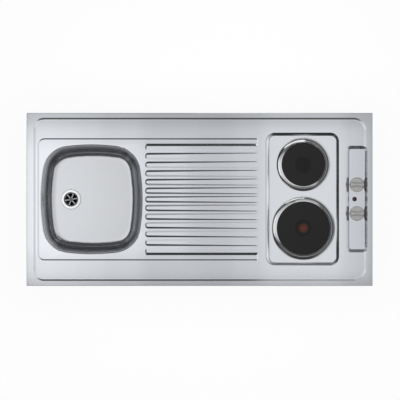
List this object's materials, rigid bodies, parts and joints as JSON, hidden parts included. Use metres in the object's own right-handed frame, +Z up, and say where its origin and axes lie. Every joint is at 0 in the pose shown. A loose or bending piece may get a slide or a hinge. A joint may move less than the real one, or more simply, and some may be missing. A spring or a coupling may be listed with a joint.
{
  "type": "kitchenette sink and hob top",
  "caption": "Lay-on stainless steel kitchenette top with a sink bowl, a ribbed drainer, cast-iron electric hotplates and rotary controls.",
  "frame": {"origin": "centre of the rest plane, under the folded edges where the top lies on its base cabinets", "axes": "+X from the bowl to the hob, +Y towards the wall, +Z up"},
  "size_m": [1.2, 0.6, 0.2447],
  "materials": {
    "panel_steel": "satin",
    "bowl_steel": "satin",
    "batten_wood": "raw",
    "galvanised": "dull",
    "fixings": "satin",
    "pad": "matte",
    "iron": "matte",
    "red_lacquer": "matte",
    "ring_steel": "polished",
    "seal_rubber": "matte",
    "ceramic": "matte",
    "brass": "satin",
    "knob_grey": "satin",
    "switch_plastic": "matte",
    "black_plastic": "matte",
    "lamp_red": "gloss",
    "lamp_plastic": "matte",
    "waste_steel": "polished",
    "waste_plastic": "matte"
  },
  "bodies": {
    "top": {"back_batten": "batten_wood", "bowl_sound_pad": "pad", "cable_gland": "black_plastic", "cross_stiffeners": "galvanised", "fast_plate_dot": "red_lacquer", "fixing_straps": "galvanised", "front_batten": "batten_wood", "front_centre_stud": "fixings", "front_clamp_bridge": "galvanised", "front_hotplate": "iron", "front_plate_cover": "galvanised", "front_ring_seal": "seal_rubber", "front_spill_ring": "ring_steel", "front_spindle_seal": "seal_rubber", "front_stud_nut": "fixings", "front_switch_body": "switch_plastic", "front_switch_screws": "fixings", "front_terminal_block": "ceramic", "front_terminal_screws": "brass", "gland_nut": "black_plastic", "hob_box": "galvanised", "hob_box_nuts": "fixings", "hob_box_studs": "fixings", "lamp_body": "lamp_plastic", "lamp_clip": "fixings", "lamp_lens": "lamp_red", "left_batten": "batten_wood", "mains_terminal_block": "switch_plastic", "mains_terminal_screws": "brass", "overflow_elbow": "waste_plastic", "overflow_pipe": "waste_plastic", "overflow_screw": "fixings", "overflow_seal": "seal_rubber", "rear_centre_stud": "fixings", "rear_clamp_bridge": "galvanised", "rear_hotplate": "iron", "rear_plate_cover": "galvanised", "rear_ring_seal": "seal_rubber", "rear_spill_ring": "ring_steel", "rear_spindle_seal": "seal_rubber", "rear_stud_nut": "fixings", "rear_switch_body": "switch_plastic", "rear_switch_screws": "fixings", "rear_terminal_block": "ceramic", "rear_terminal_screws": "brass", "right_batten": "batten_wood", "sink_bowl": "bowl_steel", "strap_screws": "fixings", "waste_body": "waste_plastic", "waste_flange": "waste_steel", "waste_screw": "waste_steel", "waste_top_seal": "seal_rubber", "waste_under_seal": "seal_rubber", "worktop_panel": "panel_steel"},
    "rear_control": {"rear_knob": "knob_grey", "rear_spindle": "fixings"},
    "front_control": {"front_knob": "knob_grey", "front_spindle": "fixings"}
  },
  "joints": [
    {"name": "rear_control_turn", "type": "hinge", "parent": "top", "child": "rear_control", "pos_m": [0.5465, 0.051, 0.026], "axis": [0, 0, 1], "continuous": true},
    {"name": "front_control_turn", "type": "hinge", "parent": "top", "child": "front_control", "pos_m": [0.5465, -0.049, 0.026], "axis": [0, 0, 1], "continuous": true}
  ]
}
